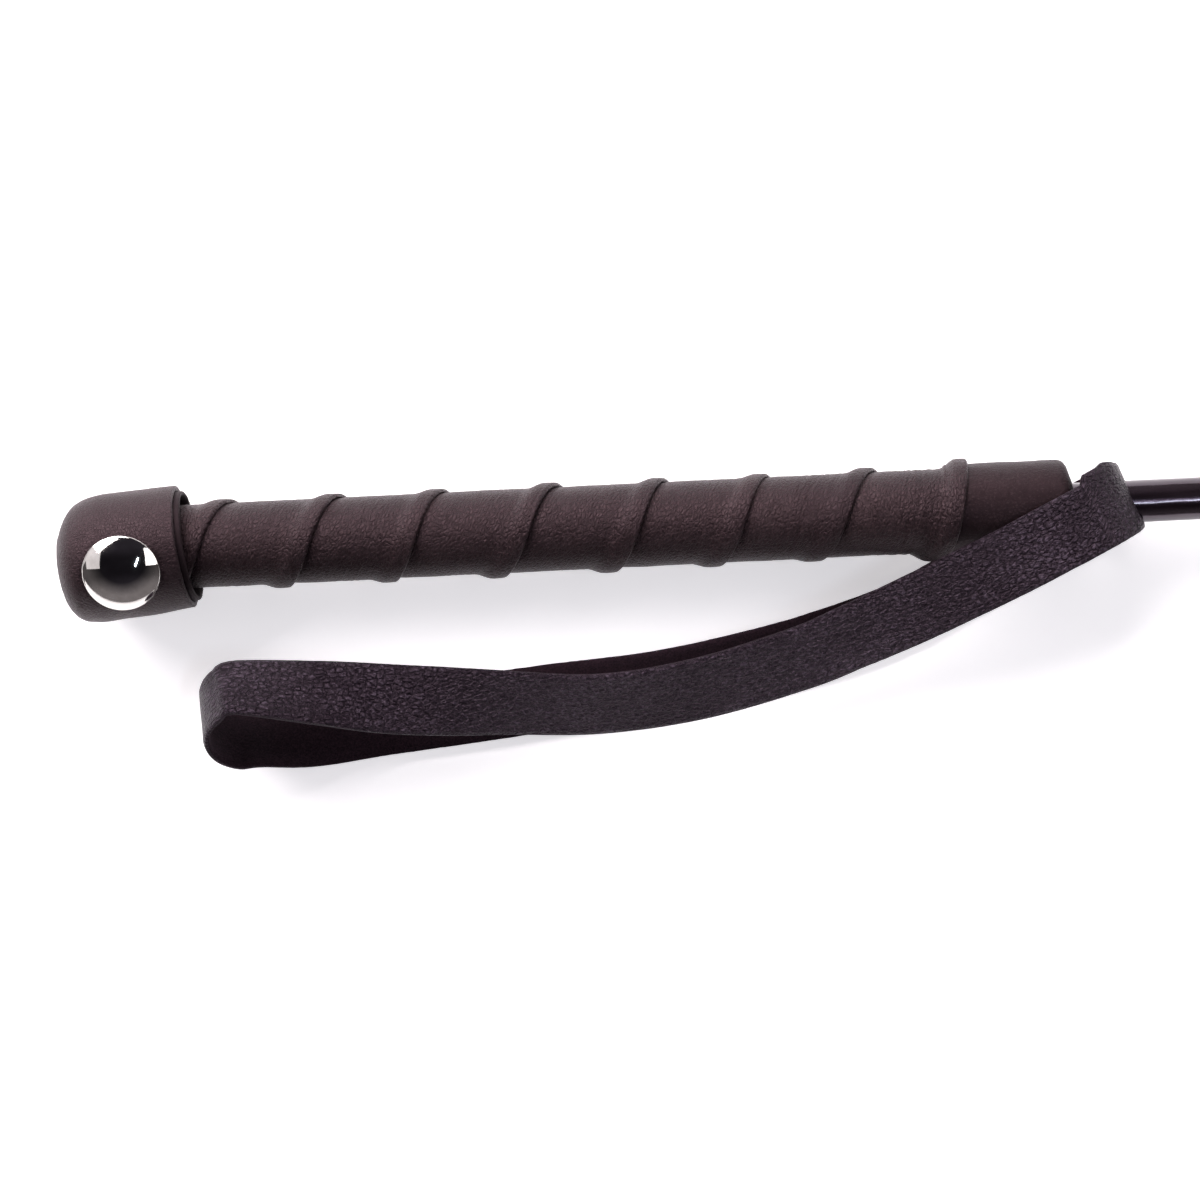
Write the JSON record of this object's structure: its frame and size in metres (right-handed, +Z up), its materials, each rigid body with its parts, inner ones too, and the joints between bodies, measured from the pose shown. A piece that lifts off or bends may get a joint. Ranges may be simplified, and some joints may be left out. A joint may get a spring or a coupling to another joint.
{
  "type": "riding crop",
  "caption": "Riding crop with a spiral leather-wrapped handle, capped butt, tapered shaft, leather wrist loop and folded leather keeper.",
  "frame": {"origin": "on the table under the middle of the crop as it lies at rest", "axes": "+X along the shaft towards the keeper, +Y across, away from the wrist loop, +Z up from the table"},
  "size_m": [0.65, 0.0574, 0.0276],
  "materials": {
    "fibre_rod": "drawn glass-fibre rod",
    "shaft_cover": "smooth glossy black",
    "core_wood": "turned, unfinished",
    "underlay_rubber": "matt",
    "wrap_leather": "black, fine grained, semi-matt",
    "collar_leather": "black, smooth, semi-matt",
    "strap_leather": "black grained face, suede back",
    "cap_leather": "black, fine grained, semi-matt",
    "lining_leather": "black suede",
    "rivet_nickel": "polished nickel plate",
    "rivet_steel": "drawn",
    "whipping_thread": "waxed black thread",
    "keeper_leather": "black, fine grained",
    "stitch_thread": "waxed black thread"
  },
  "bodies": {
    "crop": {"shaft_core": "fibre_rod", "shaft_sleeve": "shaft_cover", "handle_core": "core_wood", "handle_underlay": "underlay_rubber", "grip_wrap": "wrap_leather", "front_collar": "collar_leather", "butt_knob": "core_wood", "butt_cap": "cap_leather", "butt_lining": "lining_leather", "rivet_cap": "rivet_nickel", "rivet_post": "rivet_steel", "tip_whipping": "whipping_thread", "keeper_root": "keeper_leather"},
    "loop": {"wrist_loop": "strap_leather"},
    "keeper": {"keeper_tongue": "keeper_leather", "keeper_stitches": "stitch_thread"}
  },
  "joints": [
    {"name": "loop_turn", "type": "hinge", "parent": "crop", "child": "loop", "pos_m": [-0.112, 0.01671, 0.01088], "axis": [1, 0, -0.0095], "continuous": true},
    {"name": "keeper_flex", "type": "hinge", "parent": "crop", "child": "keeper", "pos_m": [0.278, 0.01671, 0.00718], "axis": [0, 1, 0], "range_deg": [-60, 60], "stiffness_Nm_per_rad": 0.05}
  ]
}
